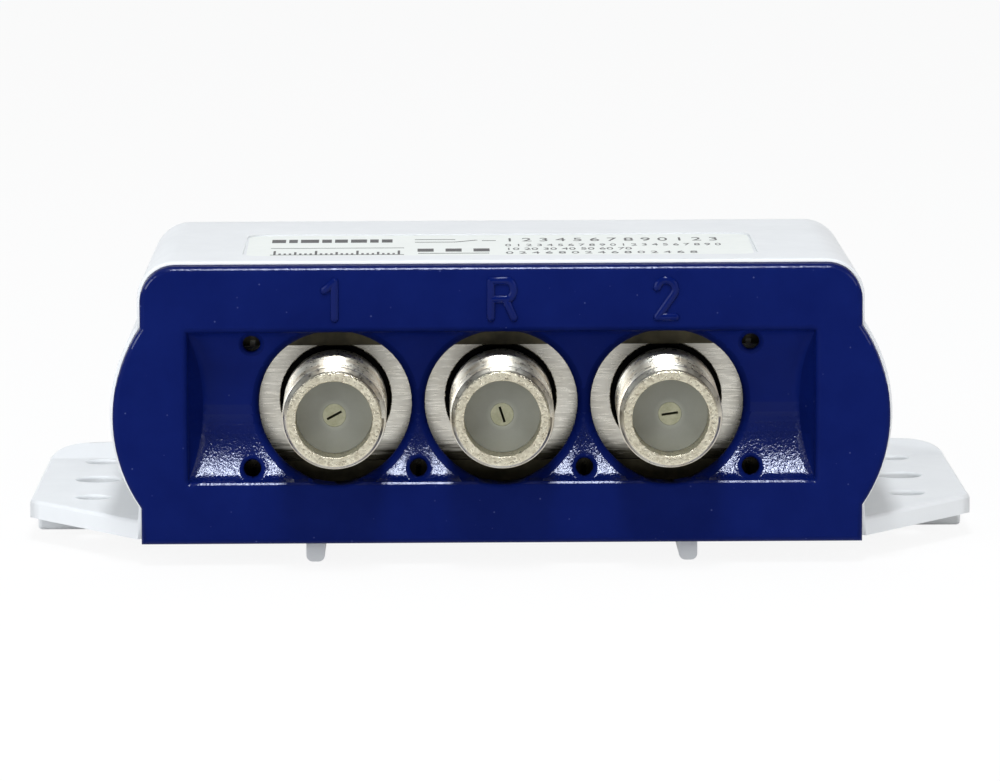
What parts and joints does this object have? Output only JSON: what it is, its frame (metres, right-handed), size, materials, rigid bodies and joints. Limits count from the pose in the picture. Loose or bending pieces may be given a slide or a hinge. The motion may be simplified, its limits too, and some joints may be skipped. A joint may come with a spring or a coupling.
{
  "type": "satellite switch",
  "caption": "Weatherproof satellite switch: white sleeve with mounting ears, and a blue slide-out carrier whose scooped face holds threaded coaxial sockets.",
  "frame": {"origin": "middle of the whole object's box, on the plane of the wall that its feet stand on", "axes": "+X across the ears, to the right seen on the sockets; -Y out of the sockets; +Z away from the wall"},
  "size_m": [0.0884, 0.0536, 0.028],
  "materials": {
    "white_plastic": "satin moulded",
    "label_film": "film sticker",
    "blue_plastic": "satin moulded",
    "tinned_sheet": "tinned",
    "nickel": "nickel-plated",
    "insulator": "waxy",
    "contact_metal": "plated",
    "board": "solder mask",
    "chip_black": "moulded",
    "ferrite": "sintered",
    "ceramic_tan": "ceramic"
  },
  "bodies": {
    "sleeve": {"outer_sleeve": "white_plastic", "label": "label_film"},
    "carrier": {"carrier": "blue_plastic", "shield_frame": "tinned_sheet", "shield_lid_top": "tinned_sheet", "shield_lid_bottom": "tinned_sheet", "circuit_board": "board", "control_chip": "chip_black", "voltage_regulator": "chip_black", "resonator": "tinned_sheet", "switch_diodes": "chip_black", "chokes": "ferrite", "chip_capacitors": "ceramic_tan", "chip_resistors": "chip_black", "socket_1_shell": "nickel", "socket_1_insulator": "insulator", "socket_1_contact": "contact_metal", "socket_r_shell": "nickel", "socket_r_insulator": "insulator", "socket_r_contact": "contact_metal", "socket_2_shell": "nickel", "socket_2_insulator": "insulator", "socket_2_contact": "contact_metal"}
  },
  "joints": [
    {"name": "carrier_slide", "type": "slide", "parent": "sleeve", "child": "carrier", "axis": [0, -1, 0], "range_m": [0, 0.03]}
  ]
}
